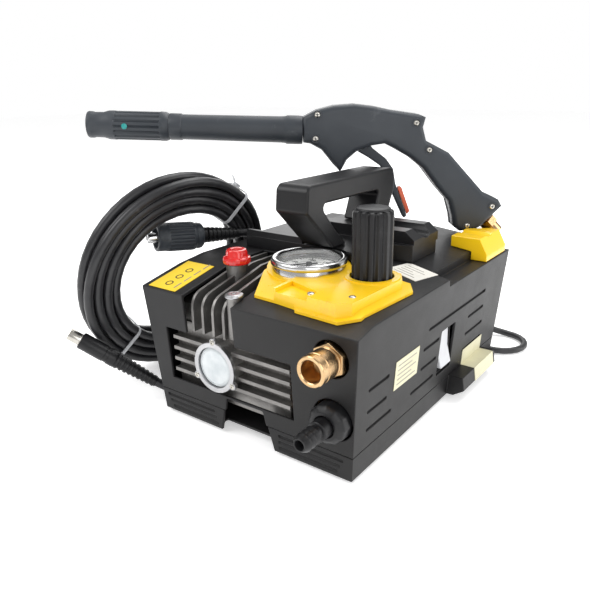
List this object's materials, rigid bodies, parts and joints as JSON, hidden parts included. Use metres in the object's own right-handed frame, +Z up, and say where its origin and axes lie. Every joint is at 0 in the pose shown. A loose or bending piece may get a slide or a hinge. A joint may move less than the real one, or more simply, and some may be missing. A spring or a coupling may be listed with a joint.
{
  "type": "pressure washer",
  "caption": "Portable electric pressure washer: boxy case with carry handle, finned plunger pump, gauge and regulator knob on top, spray gun, coiled hose and mains lead.",
  "frame": {"origin": "centre of the underside of the machine, gun included, hose and mains lead left out; the floor is z = 0", "axes": "+Z up, -Y the front with water inlet and outlet, +X the side with the power rocker"},
  "size_m": [0.406, 0.582, 0.287],
  "materials": {
    "charcoal_plastic": "fine matt grain",
    "black_plastic": "satin moulded",
    "yellow_plastic": "satin gloss",
    "red_plastic": "glossy",
    "orange_plastic": "satin",
    "white_plastic": "satin gloss",
    "gun_plastic": "fine matt grain, blue-grey",
    "rubber": "smooth with a slight sheen",
    "steel": "bright turned or pressed",
    "cast_aluminium": "as cast",
    "brass": "turned, bright",
    "copper_winding": "lacquered winding and laminations in one",
    "clear_glass": "clear"
  },
  "bodies": {
    "machine": {"base_tray": "charcoal_plastic", "upper_cover": "charcoal_plastic", "handle_base": "black_plastic", "carry_handle": "black_plastic", "inlet_barb": "black_plastic", "motor_cradle": "black_plastic", "start_capacitor": "black_plastic", "rocker_frame": "black_plastic", "mains_plug": "black_plastic", "hose_plug": "black_plastic", "lead_coil": "black_plastic", "lead_tail_case": "black_plastic", "lead_tail_plug": "black_plastic", "front_trim": "yellow_plastic", "rear_trim": "yellow_plastic", "foot_front_left": "rubber", "foot_front_right": "rubber", "foot_rear_left": "rubber", "foot_rear_right": "rubber", "mains_gland": "rubber", "hose_coil": "rubber", "hose_tail_plug": "rubber", "hose_tail_nut": "rubber", "sight_frame": "steel", "gauge_case": "steel", "gauge_bezel": "steel", "vent_plug": "steel", "regulator_spindle": "steel", "bearing_front": "steel", "bearing_rear": "steel", "hose_nipple": "steel", "pump_crankcase": "cast_aluminium", "motor_flange": "cast_aluminium", "motor_end_bell": "cast_aluminium", "pump_head": "brass", "outlet_fitting": "brass", "gauge_stem": "brass", "motor_stator": "copper_winding", "gauge_lens": "clear_glass", "sight_lens": "clear_glass"},
    "rotor": {"motor_rotor": "steel", "crankshaft": "steel", "cooling_fan": "black_plastic"},
    "plunger_a": {"plunger_1": "steel"},
    "plunger_b": {"plunger_2": "steel"},
    "plunger_c": {"plunger_3": "steel"},
    "knob": {"pressure_knob": "black_plastic"},
    "needle": {"gauge_needle": "black_plastic"},
    "oil_filler": {"oil_cap": "red_plastic"},
    "rocker": {"power_rocker": "white_plastic"},
    "water_inlet_nut": {"inlet_nut": "black_plastic"},
    "hose_swivel": {"hose_nut": "gun_plastic"},
    "gun": {"gun_shell_left": "gun_plastic", "gun_shell_right": "gun_plastic", "gun_valve": "brass", "lance_barrel": "gun_plastic"},
    "trigger_lever": {"trigger": "gun_plastic"},
    "latch": {"safety_latch": "orange_plastic"},
    "nozzle": {"nozzle_head": "gun_plastic", "nozzle_tip": "brass"}
  },
  "joints": [
    {"name": "rotor_spin", "type": "hinge", "parent": "machine", "child": "rotor", "pos_m": [0.0343, 0.0079, 0.07], "axis": [0, 1, 0], "continuous": true},
    {"name": "plunger_1_slide", "type": "slide", "parent": "machine", "child": "plunger_a", "axis": [1, 0, 0], "range_m": [-0.006, 0.006]},
    {"name": "plunger_2_slide", "type": "slide", "parent": "machine", "child": "plunger_b", "axis": [1, 0, 0], "range_m": [-0.006, 0.006]},
    {"name": "plunger_3_slide", "type": "slide", "parent": "machine", "child": "plunger_c", "axis": [1, 0, 0], "range_m": [-0.006, 0.006]},
    {"name": "knob_turn", "type": "hinge", "parent": "machine", "child": "knob", "pos_m": [0.1453, -0.0611, 0.1395], "axis": [0, 0, 1], "range_deg": [-720, 720]},
    {"name": "needle_swing", "type": "hinge", "parent": "machine", "child": "needle", "pos_m": [0.0823, -0.0661, 0.1526], "axis": [0, 0, 1], "range_deg": [-270, 0], "stiffness_Nm_per_rad": 0.0002},
    {"name": "oil_cap_unscrew", "type": "hinge", "parent": "machine", "child": "oil_filler", "pos_m": [0.0203, -0.0951, 0.1503], "axis": [0, 0, 1], "range_deg": [0, 720]},
    {"name": "power_rocker_tilt", "type": "hinge", "parent": "machine", "child": "rocker", "pos_m": [0.1743, 0.0204, 0.0615], "axis": [0, 1, 0], "range_deg": [0, 16]},
    {"name": "inlet_nut_spin", "type": "hinge", "parent": "machine", "child": "water_inlet_nut", "pos_m": [0.1628, -0.1401, 0.0565], "axis": [0, 1, 0], "continuous": true},
    {"name": "hose_swivel_spin", "type": "hinge", "parent": "machine", "child": "hose_swivel", "pos_m": [-0.08391, -0.07009, 0.1571], "axis": [-0.4152, -0.9068, 0.0723], "continuous": true},
    {"name": "gun_lift", "type": "slide", "parent": "machine", "child": "gun", "axis": [0, 0, 1], "range_m": [0, 0.1]},
    {"name": "trigger_squeeze", "type": "hinge", "parent": "gun", "child": "trigger_lever", "pos_m": [0.04142, 0.08501, 0.249], "axis": [0.6018, -0.7986, 0], "range_deg": [0, 14], "stiffness_Nm_per_rad": 4, "springref_deg": -5.73},
    {"name": "latch_swing", "type": "hinge", "parent": "trigger_lever", "child": "latch", "pos_m": [0.07816, 0.11269, 0.1965], "axis": [0.6018, -0.7986, 0], "range_deg": [0, 20]},
    {"name": "nozzle_twist", "type": "hinge", "parent": "gun", "child": "nozzle", "pos_m": [-0.11991, -0.03656, 0.2665], "axis": [-0.7979, -0.6013, 0.0419], "range_deg": [-90, 90]}
  ]
}
